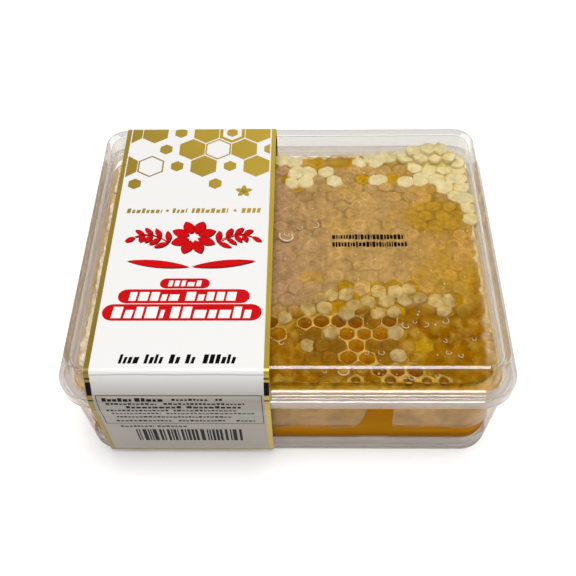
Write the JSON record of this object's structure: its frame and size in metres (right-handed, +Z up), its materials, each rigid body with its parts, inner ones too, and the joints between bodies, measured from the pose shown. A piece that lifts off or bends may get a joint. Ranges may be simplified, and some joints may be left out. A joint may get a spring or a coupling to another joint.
{
  "type": "clear retail pack of honeycomb",
  "caption": "Clear plastic tray and lift-off lid holding a block of honeycomb in honey, closed by a printed paper-thin strap; rests flat on its foot.",
  "frame": {"origin": "centre of the pack's outline at the height of the surface it stands on", "axes": "+X along the pack's long side, +Y from the front to the back, +Z up"},
  "size_m": [0.134, 0.1096, 0.0498],
  "materials": {
    "clear_plastic": "clear, high-gloss moulded polystyrene",
    "comb_wax": "wet wax caps over honey cells",
    "honey": "clear amber liquid, glossy",
    "label_film": "white printed film with metallic gold"
  },
  "bodies": {
    "root": {"tray": "clear_plastic", "lid": "clear_plastic", "honeycomb": "comb_wax", "honey": "honey", "label_strap": "label_film"}
  },
  "joints": []
}
